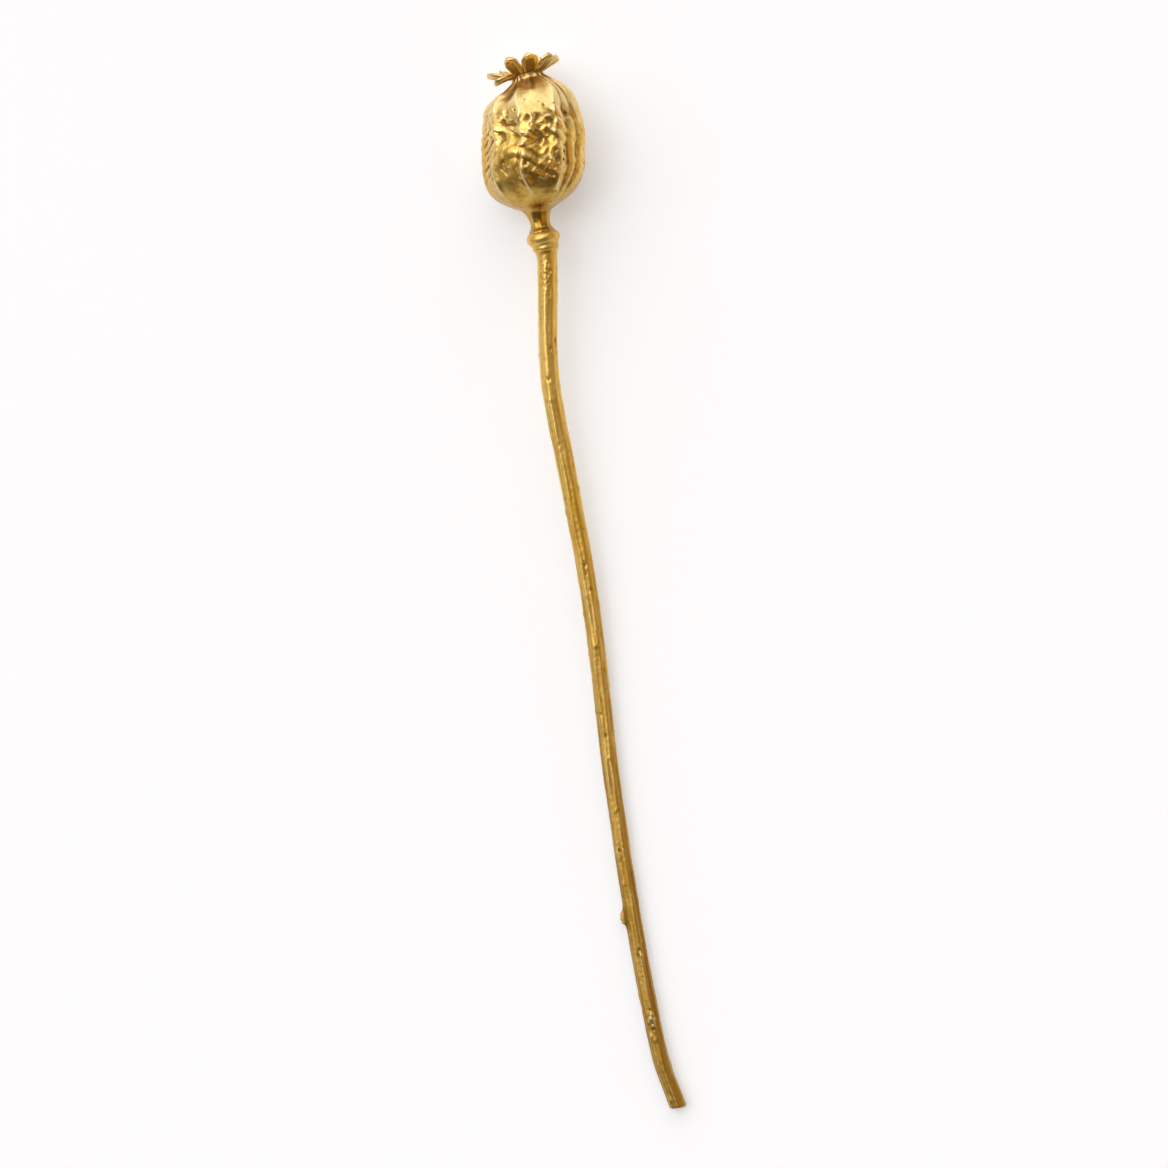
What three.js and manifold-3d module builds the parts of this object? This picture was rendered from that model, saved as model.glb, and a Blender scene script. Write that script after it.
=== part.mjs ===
// A dried poppy seed head on its cut stem, painted gold, lying on a flat surface.
// Millimetres, +Z up. The crown points along +Y and the stem runs towards -Y.
// The origin is the spot on the surface under the widest part of the capsule.
import * as THREE from "three";
import { mergeVertices } from "three/addons/utils/BufferGeometryUtils.js";
import Module from "manifold-3d";

const wasm = await Module();
wasm.setup();

// Driving dimensions
const CAPSULE_RADIUS = 17.5;
const CAPSULE_TOP = 25.5; // where the capsule's neck meets the crown
const CAPSULE_FOOT = -28.2; // where the capsule's stipe meets the collar
const RIB_COUNT = 9;
const RIB_TURN = 100; // degrees, the rib nearest the upper side
const RIB_HEIGHT = 0.55;
const RIB_WIDTH = 0.085; // radians
const PANEL_SINK = 0.75;
const RIB_SHIFT = 0.2; // radians that the upper ribs turn to the left on the shoulder
const PLEAT_DEPTH = 1.1;
const CRUMPLE_DEPTH = 0.85;
const CROWN_BASE = 25.9;
const CROWN_THICKNESS = 1.1;
const HUB_RADIUS = 4.9;
const LOBE_LENGTH = 13.3; // from the crown's centre to a lobe's tip, along the lobe
const LOBE_TROUGH = 0.6; // how far a lobe's edges stand above its middle
const LOBE_WEB = 0.65; // thickness of the sunken middle of a lobe
const LOBE_RIM = 1.6; // thickness of the rolled rim round it
const LOBE_SHARE = 0.9; // most of the room between its neighbours that a lobe fills
const RAY_HEIGHT = 0.3;
const COLLAR_TOP = -28.5;
const STEM_END = -334;
const FLUTE_COUNT = 7;
const FLUTE_DEPTH = 0.11;
const SURFACE_BLOCK = [400, 1000, 40]; // width, length and depth of the block under the surface

const GOLD = { color: 0xc9a24a, roughness: 0.38, metalness: 0.9 };
const UP = new THREE.Vector3(0, 0, 1);
const rad = THREE.MathUtils.degToRad;
const smoothstep = THREE.MathUtils.smoothstep;

// A smooth line through [place, value] pairs
function smoothLine(pairs) {
  const last = pairs.length - 1;
  const slopes = pairs.map((_, i) => {
    const [x0, y0] = pairs[Math.max(i - 1, 0)];
    const [x1, y1] = pairs[Math.min(i + 1, last)];
    return (y1 - y0) / (x1 - x0);
  });
  return (at) => {
    let i = 0;
    while (i < last - 1 && at > pairs[i + 1][0]) i++;
    const [x0, y0] = pairs[i];
    const [x1, y1] = pairs[i + 1];
    const h = x1 - x0;
    const s = THREE.MathUtils.clamp((at - x0) / h, 0, 1);
    const rise = y0 + (y1 - y0) * s * s * (3 - 2 * s);
    return rise + h * s * (1 - s) * (slopes[i] * (1 - s) - slopes[i + 1] * s);
  };
}

// The axis of the whole plant: its sideways place and its height above the surface, by place along Y
const axisX = smoothLine([
  [STEM_END, 50.5], [-316, 44.2], [-275, 36], [-222, 27.7], [-160, 20.2], [-120, 13.2], [-88, 6.9],
  [-77, 5.5], [-66, 4.85], [-42, 4.85], [-38, 4.7], [-34, 4.2], [-30, 3.2], [-25, 2.2], [-21, 1.4],
  [-10, 0.1], [5, 0], [16, -0.3], [22, -1.2], [30, -3.5],
]);
const axisZ = smoothLine([
  [STEM_END, 2.86], [-300, 2.84], [-250, 2.9], [-205, 3.6], [-160, 5.7], [-120, 8.6], [-80, 12.2],
  [-50, 14.7], [-30, 16.3], [-12, 17], [12, 17], [30, 17.3],
]);

// The plant's own directions at one place along it: out of the top, to its right and up
function axisAt(y) {
  const point = new THREE.Vector3(axisX(y), y, axisZ(y));
  const step = 0.5;
  const ahead = new THREE.Vector3(axisX(y + step), y + step, axisZ(y + step));
  const behind = new THREE.Vector3(axisX(y - step), y - step, axisZ(y - step));
  const along = ahead.sub(behind).normalize();
  const right = new THREE.Vector3().crossVectors(along, UP).normalize();
  const up = new THREE.Vector3().crossVectors(right, along);
  return { point, along, right, up };
}

// A point at a radius and a turn about the axis, where a quarter turn is up, and a rise along the axis
function around({ point, along, right, up }, radius, turn, rise = 0) {
  return point.clone()
    .addScaledVector(right, radius * Math.cos(turn))
    .addScaledVector(up, radius * Math.sin(turn))
    .addScaledVector(along, rise);
}

// A closed geometry from triangles whose shared corners are merged
function closedGeometry(corners) {
  const flat = corners.flatMap((p) => [p.x, p.y, p.z]);
  const loose = new THREE.BufferGeometry();
  loose.setAttribute("position", new THREE.Float32BufferAttribute(flat, 3));
  return mergeVertices(loose, 1e-3);
}

// A skin over rings of points, closed by a point at each end; rings run along the axis, turning right to up
function skin(rings, startPoint, endPoint) {
  const corners = [];
  const sides = rings[0].length;
  for (let k = 0; k < sides; k++) {
    const n = (k + 1) % sides;
    corners.push(startPoint, rings[0][k], rings[0][n]);
    for (let i = 0; i + 1 < rings.length; i++) {
      const [a, b, c, d] = [rings[i][k], rings[i][n], rings[i + 1][n], rings[i + 1][k]];
      corners.push(a, d, b, b, d, c);
    }
    corners.push(endPoint, rings.at(-1)[n], rings.at(-1)[k]);
  }
  return closedGeometry(corners);
}

function solidOf(geometry) {
  return new wasm.Manifold(new wasm.Mesh({
    numProp: 3,
    vertProperties: geometry.attributes.position.array,
    triVerts: new Uint32Array(geometry.index.array),
  }));
}

// What is left of a geometry above the surface that it lies on, so that it rests on small flats
function restingOnSurface(geometry) {
  const block = new THREE.BoxGeometry(...SURFACE_BLOCK).translate(0, 0, -SURFACE_BLOCK[2] / 2);
  const below = mergeVertices(block.deleteAttribute("normal").deleteAttribute("uv"));
  const mesh = solidOf(geometry).subtract(solidOf(below)).getMesh();
  const cut = new THREE.BufferGeometry();
  cut.setAttribute("position", new THREE.BufferAttribute(mesh.vertProperties, 3));
  return cut.setIndex(new THREE.BufferAttribute(mesh.triVerts, 1));
}

// Places along Y from one end to the other, evenly spaced over the outline that radius gives
function evenPlaces(from, to, count, radius) {
  const fine = Array.from({ length: 600 }, (_, i) => from + ((to - from) * i) / 599);
  const length = [0];
  for (let i = 1; i < fine.length; i++)
    length.push(length[i - 1] + Math.hypot(fine[i] - fine[i - 1], radius(fine[i]) - radius(fine[i - 1])));
  return Array.from({ length: count }, (_, k) => {
    const wanted = (length.at(-1) * k) / (count - 1);
    const i = Math.max(1, length.findIndex((l) => l >= wanted - 1e-9));
    const share = (wanted - length[i - 1]) / (length[i] - length[i - 1]);
    return fine[i - 1] + share * (fine[i] - fine[i - 1]);
  });
}

// Capsule: a ribbed barrel with a flat shoulder, on a short stipe
const capsuleOutline = smoothLine([
  [CAPSULE_FOOT, 4.45], [-26.8, 3.62], [-24.6, 3.5], [-22, 4.3], [-20.6, 5.7], [-19.2, 8.6], [-16.3, 12.8],
  [-12.6, 15.8], [-7.4, 17.15], [0, CAPSULE_RADIUS], [7.4, 17.4], [12.6, 16.6], [16.3, 15.1], [19.2, 12.7],
  [22.2, 8.3], [24, 6], [CAPSULE_TOP, 5.3],
]);

// The large hollows that drying left: place along Y, turn in degrees, depth, reach along and around
const HOLLOWS = [
  [4.5, 118, 1.7, 5, 0.3], [2, 80, 1.2, 6, 0.24], [11, 46, 1.3, 3, 0.16], [-4, 48, 0.9, 7, 0.16],
  [-3, 160, 0.9, 6, 0.22], [5, 205, 1.4, 5, 0.3], [0, 320, 1.3, 6, 0.3], [7, 352, 1, 4, 0.22],
];
// Where the shoulder's pleats are shallower and deeper than the rest, in the same order
const PLEATS = [[19, 88, -0.85, 9, 0.34], [19, 130, 0.5, 9, 0.3]];

// The turn away from a direction in degrees, from minus to plus half a circle
function turnedFrom(turn, degrees) {
  return THREE.MathUtils.euclideanModulo(turn - rad(degrees) + Math.PI, 2 * Math.PI) - Math.PI;
}

// The sum of soft round spots at a place and a turn
function spots(y, turn, rows) {
  return rows.reduce((sum, [atY, atTurn, size, reachY, reachTurn]) => {
    const share = ((y - atY) / reachY) ** 2 + (turnedFrom(turn, atTurn) / reachTurn) ** 2;
    return sum + size * Math.exp(-share);
  }, 0);
}

// How far the dried wall stands off the smooth outline at a place and a turn
function capsuleRelief(y, turn) {
  const body = smoothstep(y, -21, -13) * (1 - smoothstep(y, 22, CAPSULE_TOP));
  const spacing = (2 * Math.PI) / RIB_COUNT;
  const wander = 0.05 * Math.sin(0.21 * y + 3 * turn) + 0.03 * Math.sin(0.47 * y - 2 * turn);
  const shift = RIB_SHIFT * smoothstep(y, 0, 12) * Math.exp(-((turnedFrom(turn, 106) / 0.6) ** 2));
  const fromRib = (turn - rad(RIB_TURN) + wander - shift) / spacing;
  const offRib = (fromRib - Math.round(fromRib)) * spacing;
  const rib = RIB_HEIGHT * Math.exp(-((offRib / RIB_WIDTH) ** 2));
  const panel = Math.cos((Math.PI * offRib) / spacing) ** 2;
  const sink = PANEL_SINK * (1 - panel) * (0.7 + 0.3 * Math.sin(2 * turn + 0.13 * y));
  const shoulder = smoothstep(y, 13, 20) * (1 - smoothstep(y, 22.5, CAPSULE_TOP));
  const folded = 1 + spots(y, turn, PLEATS);
  const pleat = PLEAT_DEPTH * (1 - panel) * folded * shoulder;
  const belt = smoothstep(y, -14, -5) * (1 - smoothstep(y, 9, 16));
  const fold = Math.sin(0.62 * y + 2.2 * Math.sin(2 * turn + 1) + 1.1 * Math.sin(5 * turn - 0.25 * y));
  const cross = Math.sin(9 * turn + 1.6 * Math.sin(0.36 * y + 1) + 0.9 * Math.sin(0.8 * y));
  const crumple = CRUMPLE_DEPTH * belt * (0.55 * Math.abs(fold) + 0.45 * Math.abs(cross) - 0.5);
  return body * (rib - sink - pleat + crumple - spots(y, turn, HOLLOWS));
}

function capsule() {
  const rows = 42;
  const sides = 72;
  const rings = evenPlaces(CAPSULE_FOOT, CAPSULE_TOP, rows, capsuleOutline).map((y) => {
    const axis = axisAt(y);
    return Array.from({ length: sides }, (_, k) => {
      const turn = (2 * Math.PI * k) / sides;
      return around(axis, capsuleOutline(y) + capsuleRelief(y, turn), turn);
    });
  });
  return restingOnSurface(skin(rings, axisAt(CAPSULE_FOOT).point, axisAt(CAPSULE_TOP).point));
}

// Crown: the lobed stigma cap, one lobe for each rib: turn and lift in degrees, and share of the full length
const LOBES = [
  [30, 28, 0.95], [76, 52, 1], [122, 52, 1.08], [152, -9, 1], [187, 24, 1.15], [226, 34, 1], [266, 44, 1],
  [306, 36, 1], [346, 22, 1],
];
const lobeHalfWidth = smoothLine([
  [HUB_RADIUS, 2.3], [7, 2.65], [9.5, 2.75], [11.6, 2.4], [12.7, 1.7], [LOBE_LENGTH, 0.9],
]);
const LOBE_STATIONS = [1.7, 3.4, HUB_RADIUS, 5.6, 7, 8.6, 10.2, 11.6, 12.6, LOBE_LENGTH];
const HUB_STATIONS = LOBE_STATIONS.indexOf(HUB_RADIUS) + 1;
const LOBE_ACROSS = [-1, -0.72, -0.36, 0, 0.36, 0.72, 1];

// A lobe's middle line: its distance from the crown's centre and its rise, bending up to its lift
function lobeLine(lift, share, length) {
  const steps = 24;
  const line = { reach: Math.min(length, HUB_RADIUS), rise: 0, slope: 0 };
  for (let i = 0; i < steps && length > HUB_RADIUS; i++) {
    const run = (share * (length - HUB_RADIUS)) / steps;
    line.slope = rad(lift) * smoothstep((i + 0.5) * run, 0, 3);
    line.reach += run * Math.cos(line.slope);
    line.rise += run * Math.sin(line.slope);
  }
  return line;
}

// How far a lobe's lower and upper face stand off its middle line: a shallow trough with a rolled rim
function lobeFaces(length, across) {
  const open = smoothstep(length, 3, HUB_RADIUS + 2);
  const away = Math.abs(across);
  const tip = smoothstep(length, 11, 12.6);
  const rim = Math.max(smoothstep(away, 0.3, 0.75), tip) * (1 - 0.3 * smoothstep(away, 0.75, 1));
  const thickness = THREE.MathUtils.lerp(CROWN_THICKNESS, LOBE_WEB + (LOBE_RIM - LOBE_WEB) * rim, open);
  const middle = CROWN_THICKNESS / 2 + LOBE_TROUGH * open * across * across * (1 - 0.6 * tip);
  const ray = RAY_HEIGHT * Math.exp(-((across / 0.25) ** 2)) * (1 - tip);
  return [middle - thickness / 2, middle + thickness / 2 + ray];
}

function crown() {
  const axis = axisAt(CROWN_BASE);
  const corners = [];
  const centre = lobeFaces(0, 0).map((off) => around(axis, 0, 0, off));
  LOBES.forEach(([turn, lift, share], i) => {
    const before = LOBES.at(i - 1)[0];
    const after = LOBES[(i + 1) % LOBES.length][0];
    const gap = [((turn - before + 360) % 360) / 2, ((after - turn + 360) % 360) / 2].map(rad);
    // The lower and upper point at one length along the lobe and one share of the way across it
    const pair = (length, across) => {
      const { reach, rise, slope } = lobeLine(lift, share, length);
      const wedge = across < 0 ? gap[0] : gap[1];
      const free = length > HUB_RADIUS;
      const spread = free ? Math.min(lobeHalfWidth(length) / reach, LOBE_SHARE * wedge) : wedge;
      const direction = rad(turn) + across * spread;
      return lobeFaces(length, across).map((off) =>
        around(axis, reach - off * Math.sin(slope), direction, rise + off * Math.cos(slope)));
    };
    const grid = LOBE_STATIONS.map((length) => LOBE_ACROSS.map((across) => pair(length, across)));
    const last = LOBE_ACROSS.length - 1;
    for (let k = 0; k < last; k++) {
      corners.push(centre[1], grid[0][k + 1][1], grid[0][k][1]);
      corners.push(centre[0], grid[0][k][0], grid[0][k + 1][0]);
      for (let j = 0; j + 1 < grid.length; j++) {
        const [a, b, c, d] = [grid[j][k], grid[j][k + 1], grid[j + 1][k + 1], grid[j + 1][k]];
        corners.push(a[1], b[1], d[1], b[1], c[1], d[1]);
        corners.push(a[0], d[0], b[0], b[0], d[0], c[0]);
      }
      const [a, b] = [grid.at(-1)[k], grid.at(-1)[k + 1]];
      corners.push(a[0], a[1], b[0], b[0], a[1], b[1]);
    }
    for (let j = HUB_STATIONS - 1; j + 1 < grid.length; j++) {
      const [a, b] = [grid[j][0], grid[j + 1][0]];
      const [c, d] = [grid[j][last], grid[j + 1][last]];
      corners.push(a[0], a[1], b[0], b[0], a[1], b[1]);
      corners.push(c[0], d[0], c[1], d[0], d[1], c[1]);
    }
  });
  return closedGeometry(corners);
}

// Stem: a fluted stalk with the double ring that the petals left, and two old leaf scars
const stemOutline = smoothLine([
  [STEM_END, 2.85], [-220, 2.82], [-160, 2.95], [-110, 3.12], [-60, 3.32], [-41, 3.4], [-38, 3.5],
  [-36, 3.7], [-35, 4.05], [-34.4, 4.55], [-33.6, 4.65], [-32.9, 4.6], [-32.3, 5], [-31.5, 5.6],
  [-30.5, 5.85], [-29.4, 5.45], [COLLAR_TOP, 4.65],
]);
// Leaf scars: place along Y, turn in degrees, height, reach along and around
const SCARS = [[-268, 178, 1.9, 1.8, 0.36], [-303, 92, 0.8, 2.2, 0.42]];

function stemRelief(y, turn) {
  const flutes = FLUTE_DEPTH * Math.cos(FLUTE_COUNT * turn + 0.012 * y) * (1 - smoothstep(y, -42, -36));
  return flutes + spots(y, turn, SCARS);
}

function stem() {
  const sides = 2 * FLUTE_COUNT;
  const places = [
    ...evenPlaces(STEM_END, -309, 7, stemOutline),
    ...evenPlaces(-306.5, -299.5, 5, stemOutline),
    ...evenPlaces(-296, -274, 5, stemOutline),
    ...evenPlaces(-271.5, -264.5, 5, stemOutline),
    ...evenPlaces(-260, -42, 36, stemOutline),
    ...evenPlaces(-40, COLLAR_TOP, 22, stemOutline),
  ];
  const rings = places.map((y) => {
    const axis = axisAt(y);
    return Array.from({ length: sides }, (_, k) => {
      const turn = (2 * Math.PI * k) / sides;
      return around(axis, stemOutline(y) + stemRelief(y, turn), turn);
    });
  });
  return restingOnSurface(skin(rings, axisAt(STEM_END).point, axisAt(COLLAR_TOP).point));
}

const poppy = new THREE.Group();
for (const [name, geometry] of Object.entries({ stem: stem(), capsule: capsule(), crown: crown() })) {
  const mesh = new THREE.Mesh(geometry, new THREE.MeshStandardMaterial(GOLD));
  mesh.name = name;
  poppy.add(mesh);
}

export default poppy;
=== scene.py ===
"""A dried poppy seed head, painted gold and lying on its side.

Fine skins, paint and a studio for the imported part. The skins repeat the part's own formulas, in millimetres,
on a finer mesh and add its folds, wrinkles, pits and grain.
"""

import math
import random

import bmesh
import bpy
import numpy as np
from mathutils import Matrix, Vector, noise


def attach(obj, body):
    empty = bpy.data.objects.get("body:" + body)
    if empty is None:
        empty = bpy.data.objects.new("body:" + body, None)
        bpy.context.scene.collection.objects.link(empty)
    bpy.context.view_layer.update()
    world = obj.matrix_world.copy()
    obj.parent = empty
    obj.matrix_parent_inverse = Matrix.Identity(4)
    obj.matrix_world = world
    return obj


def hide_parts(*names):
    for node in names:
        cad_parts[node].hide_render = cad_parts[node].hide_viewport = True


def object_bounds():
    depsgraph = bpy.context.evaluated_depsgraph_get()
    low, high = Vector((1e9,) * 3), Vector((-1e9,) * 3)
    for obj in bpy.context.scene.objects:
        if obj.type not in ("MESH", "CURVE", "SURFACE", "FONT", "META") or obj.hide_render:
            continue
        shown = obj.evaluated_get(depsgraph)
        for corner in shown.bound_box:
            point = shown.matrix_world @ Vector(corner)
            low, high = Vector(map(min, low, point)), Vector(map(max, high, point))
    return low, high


bl_info = {
    "name": "Gold Poppy Seed Head",
    "version": (1, 0, 0),
    "blender": (4, 5, 0),
    "location": "View3D > Sidebar > Poppy",
    "description": "Dresses the packed poppy seed head with fine skins, gold paint and a studio",
    "category": "Object",
}

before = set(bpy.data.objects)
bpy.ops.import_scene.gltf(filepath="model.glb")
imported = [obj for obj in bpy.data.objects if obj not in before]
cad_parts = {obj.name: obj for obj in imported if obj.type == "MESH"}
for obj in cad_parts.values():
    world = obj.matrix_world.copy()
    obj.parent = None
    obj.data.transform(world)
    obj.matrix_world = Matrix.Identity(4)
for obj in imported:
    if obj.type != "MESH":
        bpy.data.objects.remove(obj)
CAD_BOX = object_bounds()
MM = 0.001

# Driving dimensions of the plant, in millimetres along its axis, as in the part's source
CAPSULE_RADIUS = 17.5
CAPSULE_TOP = 25.5
CAPSULE_FOOT = -28.2
SEAT = 0.7  # how far the capsule's ends reach into the collar and the crown
RIB_COUNT = 9
RIB_TURN = math.radians(100)
RIB_SPACING = 2 * math.pi / RIB_COUNT
RIB_WIDTH = 0.085
PANEL_SINK = 0.75
RIB_SHIFT = 0.2
PLEAT_DEPTH = 1.1
CRUMPLE_DEPTH = 0.85
CROWN_BASE = 25.9
CROWN_THICKNESS = 1.1
HUB_RADIUS = 4.9
LOBE_LENGTH = 13.3
LOBE_TROUGH = 0.2
LOBE_SHARE = 0.9
RAY_HEIGHT = 0.3
COLLAR_TOP = -28.5
STEM_END = -334
FLUTE_COUNT = 7

# Depths and sizes of the fine relief, in millimetres
FOLD_DEPTH = 1.5
FOLD_SIZE = 4.6
WRINKLE_SIZE = 3
FINE_WRINKLE_SIZE = 1.5
ROPE_HEIGHT = 0.22
RIDGE_HEIGHT = 0.4
SHELF_HEIGHT = 1.2
LOW_GROOVE = 0.06
NECK_FLUTE = 0.13
FIBRE_DEPTH = 0.16
CREST_WIDTH = 0.03  # in radians round the capsule
DRIFT_SEED = 4

# Mesh fineness
CAPSULE_ROWS = 290
CAPSULE_SIDES = 336
STEM_ROWS = 900
STEM_SIDES = 60
LOBE_ROWS = 44
HUB_ROWS = 12  # rows of each lobe that lie in the hub
ROOT_ROWS = 4  # rows beyond the hub over which a lobe's side walls thin out
LOBE_COLUMNS = 27
MERGE_DISTANCE = 0.002
# The closed ends, the cut stem's recess among them, are a little browner: painted shade.
CAP_SHADE = 0.1  # how much browner the closed ends are

# The studio: half the floor's width in metres, the camera's sensor in millimetres
FLOOR_HALF = 20.0
SENSOR_WIDTH = 36
# Each soft light's direction, width in degrees and colour
SUNS = {
    "key": ((-0.2, 0.76, 0.65), 76, (1, 1, 1)),
    "side": ((-0.68, 0.08, 0.73), 46, (1, 1, 1)),
    "overhead": ((-0.28, 0.1, 1), 36, (1, 1, 1)),
    "fill": ((0.78, -0.05, 0.62), 46, (1, 0.66, 0.26)),
}


def smooth_line(*pairs):
    """A function that runs smoothly through (place, value) pairs."""
    places, values = (np.array(column, float) for column in zip(*pairs))
    order = np.arange(len(places))
    before = np.maximum(order - 1, 0)
    after = np.minimum(order + 1, len(places) - 1)
    slopes = (values[after] - values[before]) / (places[after] - places[before])

    def line(at):
        i = np.clip(np.searchsorted(places, at) - 1, 0, len(places) - 2)
        h = places[i + 1] - places[i]
        s = np.clip((at - places[i]) / h, 0, 1)
        rise = values[i] + (values[i + 1] - values[i]) * s * s * (3 - 2 * s)
        return rise + h * s * (1 - s) * (slopes[i] * (1 - s) - slopes[i + 1] * s)

    return line


# The axis of the whole plant: sideways place and height above the surface, by place along Y
axis_x = smooth_line(
    (STEM_END, 50.5), (-316, 44.2), (-275, 36), (-222, 27.7), (-160, 20.2), (-120, 13.2), (-88, 6.9),
    (-77, 5.5), (-66, 4.85), (-42, 4.85), (-38, 4.7), (-34, 4.2), (-30, 3.2), (-25, 2.2), (-21, 1.4),
    (-10, 0.1), (5, 0), (16, -0.3), (22, -1.2), (30, -3.5),
)
axis_z = smooth_line(
    (STEM_END, 2.86), (-300, 2.84), (-250, 2.9), (-205, 3.6), (-160, 5.7), (-120, 8.6), (-80, 12.2),
    (-50, 14.7), (-30, 16.3), (-12, 17), (12, 17), (30, 17.3),
)
capsule_outline = smooth_line(
    (CAPSULE_FOOT, 4.45), (-26.8, 3.62), (-24.6, 3.5), (-22, 4.3), (-20.6, 5.7), (-19.2, 8.6), (-16.3, 12.8),
    (-12.6, 15.8), (-7.4, 17.15), (0, CAPSULE_RADIUS), (7.4, 17.4), (12.6, 16.6), (16.3, 15.1), (19.2, 12.7),
    (22.2, 8.3), (24, 6), (CAPSULE_TOP, 5.3),
)
stem_outline = smooth_line(
    (STEM_END, 2.85), (-220, 2.82), (-160, 2.95), (-110, 3.12), (-60, 3.32), (-41, 3.4), (-38, 3.5),
    (-36, 3.7), (-35, 4.05), (-34.4, 4.55), (-33.6, 4.65), (-32.9, 4.6), (-32.3, 5), (-31.5, 5.6),
    (-30.5, 5.85), (-29.4, 5.45), (COLLAR_TOP, 4.65),
)
lobe_half_width = smooth_line(
    (HUB_RADIUS, 2.3), (7, 2.8), (9.5, 3.2), (11.4, 3), (12.6, 2.2), (LOBE_LENGTH, 1),
)

# The large hollows that drying left: place along Y, turn in degrees, depth, reach along and around
HOLLOWS = [
    (4.5, 118, 1.7, 5, 0.3), (2, 80, 1.2, 6, 0.24), (11, 46, 1.3, 3, 0.16), (-4, 48, 0.9, 7, 0.16),
    (-3, 160, 0.9, 6, 0.22), (5, 205, 1.4, 5, 0.3), (0, 320, 1.3, 6, 0.3), (7, 352, 1, 4, 0.22),
]
# Where the shoulder's pleats are shallower and deeper than the rest, in the same order
PLEATS = [(19, 88, -0.85, 9, 0.34), (19, 130, 0.5, 9, 0.3)]
# Where the broad crumples are missing, in the same order
SMOOTH_SPOTS = [(-9, 122, -0.9, 5, 0.3), (-4, 172, -0.7, 12, 0.3), (0, 36, -0.75, 13, 0.36)]
# Each panel between two ribs: how strong its broad folds and its fine wrinkles are, from which Y to which
PANELS = [
    (1, 0.35, -1, 12), (0.2, 0.25, -12, 13), (0.45, 0.3, -6, 12), (0.4, 0.5, -8, 8), (1, 0.5, -10, 10),
    (0.5, 0.4, -4, 13), (0.5, 0.4, -9, 9), (0.05, 0.25, -9, 12), (0.55, 1, -11, 9),
]
# Pits and dimples in the wall: place along Y, turn in degrees, depth and radius
PITS = [
    (-6.7, 99, 0.8, 0.7), (-2, 51, 0.8, 0.6), (-5, 52, 0.7, 0.5), (10.8, 44, 1, 0.8), (12, 112, 0.5, 0.5),
    (8.5, 128, 0.7, 0.7), (13.5, 76, 0.4, 0.6), (-6, 125, 0.35, 0.6), (-7.8, 129, 0.35, 0.5),
    (-9.2, 123, 0.3, 0.6), (-7, 119, 0.25, 0.5),
]
# The crown's lobes: turn and lift in degrees, and share of the full length
LOBES = [
    (30, 28, 0.95), (76, 52, 1), (122, 52, 1.08), (152, -9, 1), (187, 24, 1.15), (226, 34, 1), (266, 44, 1),
    (306, 36, 1), (346, 22, 1),
]
# Old leaf scars on the stem: place along Y, turn in degrees, height, reach along and around
SCARS = [(-268, 178, 1.9, 1.8, 0.36), (-303, 92, 0.8, 2.2, 0.42)]
# The first scar's broken tip, the torn skin round the scars and how brown or pale they are, in the same order
SCAR_TIP = [(-265.6, 177, 0.9, 1.5, 0.26), (-269, 181, -0.7, 0.6, 0.16)]
TORN_SKIN = [(-44, 115, 0.35, 6, 0.9), (-303, 92, 0.95, 2.8, 0.45), (-268, 178, 0.9, 2.2, 0.45)]
SCAR_TONES = [(-268, 178, 0.34, 1.9, 0.5), (-303, 92, -0.28, 2.3, 0.42)]


def smoothstep(at, low, high):
    s = np.clip((at - low) / (high - low), 0, 1)
    return s * s * (3 - 2 * s)


def turned_from(turn, degrees):
    """The turn away from a direction, from minus to plus half a circle."""
    return (turn - math.radians(degrees) + math.pi) % (2 * math.pi) - math.pi


def spots(y, turn, rows):
    """The sum of soft round spots, each (place, degrees, size, reach along, reach around)."""
    total = np.zeros(np.broadcast(y, turn).shape)
    for at, degrees, size, along, around_reach in rows:
        total += size * np.exp(-(((y - at) / along) ** 2) - (turned_from(turn, degrees) / around_reach) ** 2)
    return total


def lumps(points, size):
    """Smooth noise, about -0.7 to 0.7, with lumps of about that size."""
    flat = (points.reshape(-1, 3) / size).tolist()
    return np.array([noise.noise(p) for p in flat]).reshape(points.shape[:-1])


def cells(points, size):
    """The distance to the nearest of random points that lie about that size apart, as a share of it."""
    flat = (points.reshape(-1, 3) / size).tolist()
    return np.array([noise.voronoi(p)[0][0] for p in flat]).reshape(points.shape[:-1])


def drift(points, size):
    """A smooth random shift of each point, with swirls of about that size, the same at each run."""
    noise.seed_set(DRIFT_SEED)
    flat = (points.reshape(-1, 3) / size).tolist()
    return np.array([noise.noise_vector(p) for p in flat]).reshape(points.shape)


def axis_at(y):
    """The axis's points at places along Y, with its directions out of the top, to its right and up."""
    y = np.atleast_1d(np.asarray(y, float))
    step = 0.5
    point = np.stack([axis_x(y), y, axis_z(y)], -1)
    sideways = axis_x(y + step) - axis_x(y - step)
    upwards = axis_z(y + step) - axis_z(y - step)
    along = np.stack([sideways, np.full_like(y, 2 * step), upwards], -1)
    along /= np.linalg.norm(along, axis=-1, keepdims=True)
    right = np.cross(along, (0, 0, 1))
    right /= np.linalg.norm(right, axis=-1, keepdims=True)
    return point, along, right, np.cross(right, along)


def around(axis, radius, turn, rise):
    """Points at a radius and a turn about the axis, where a quarter turn is up, and a rise along it."""
    point, along, right, up = (part[:, None, :] for part in axis)
    radius, turn, rise = (np.asarray(part, float)[..., None] for part in (radius, turn, rise))
    return point + right * radius * np.cos(turn) + up * radius * np.sin(turn) + along * rise


def even_places(start, end, count, outline):
    """Places along Y, evenly spaced over an outline."""
    fine = np.linspace(start, end, 4000)
    steps = np.hypot(np.diff(fine), np.diff(outline(fine)))
    length = np.concatenate([[0], np.cumsum(steps)])
    return np.interp(np.linspace(0, length[-1], count), length, fine)


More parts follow.
